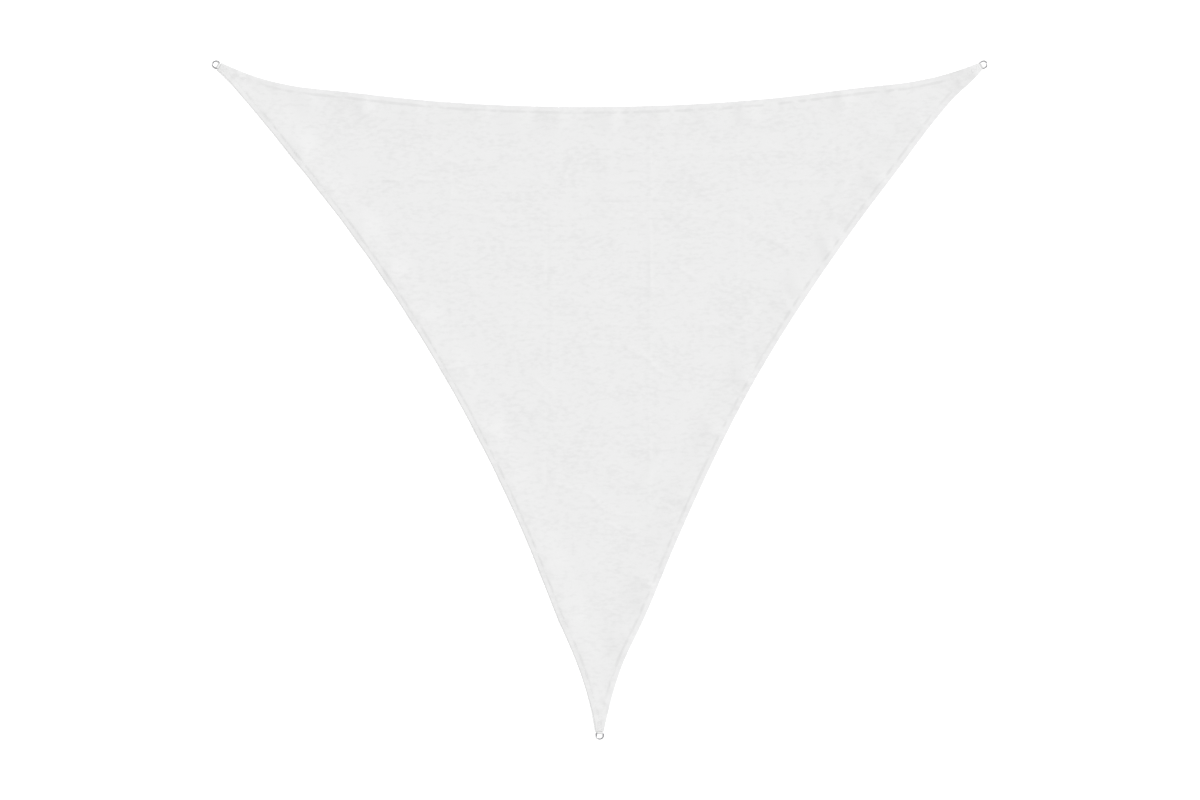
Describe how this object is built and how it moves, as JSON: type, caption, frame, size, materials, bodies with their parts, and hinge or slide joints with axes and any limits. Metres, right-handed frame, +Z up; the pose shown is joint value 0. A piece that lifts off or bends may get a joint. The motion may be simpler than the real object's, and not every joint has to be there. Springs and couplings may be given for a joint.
{
  "type": "triangular shade sail",
  "caption": "Flat triangular shade sail with hollow hemmed edges and a steel D-ring on a webbing loop at each corner.",
  "frame": {"origin": "on the ground under the middle of the sail's box", "axes": "+X along the top edge towards the right ring, +Y up the sail from the lower ring to the top edge, +Z up off the ground"},
  "size_m": [3.6, 3.152, 0.011],
  "materials": {
    "cloth": "knitted polyethylene cloth, off-white, matt",
    "webbing": "woven polyester webbing, off-white",
    "ring_steel": "polished stainless steel wire"
  },
  "bodies": {
    "root": {"sail_cloth": "cloth", "corner_loop_top_left": "webbing", "corner_loop_top_right": "webbing", "corner_loop_bottom": "webbing", "d_ring_top_left": "ring_steel", "d_ring_top_right": "ring_steel", "d_ring_bottom": "ring_steel"}
  },
  "joints": []
}
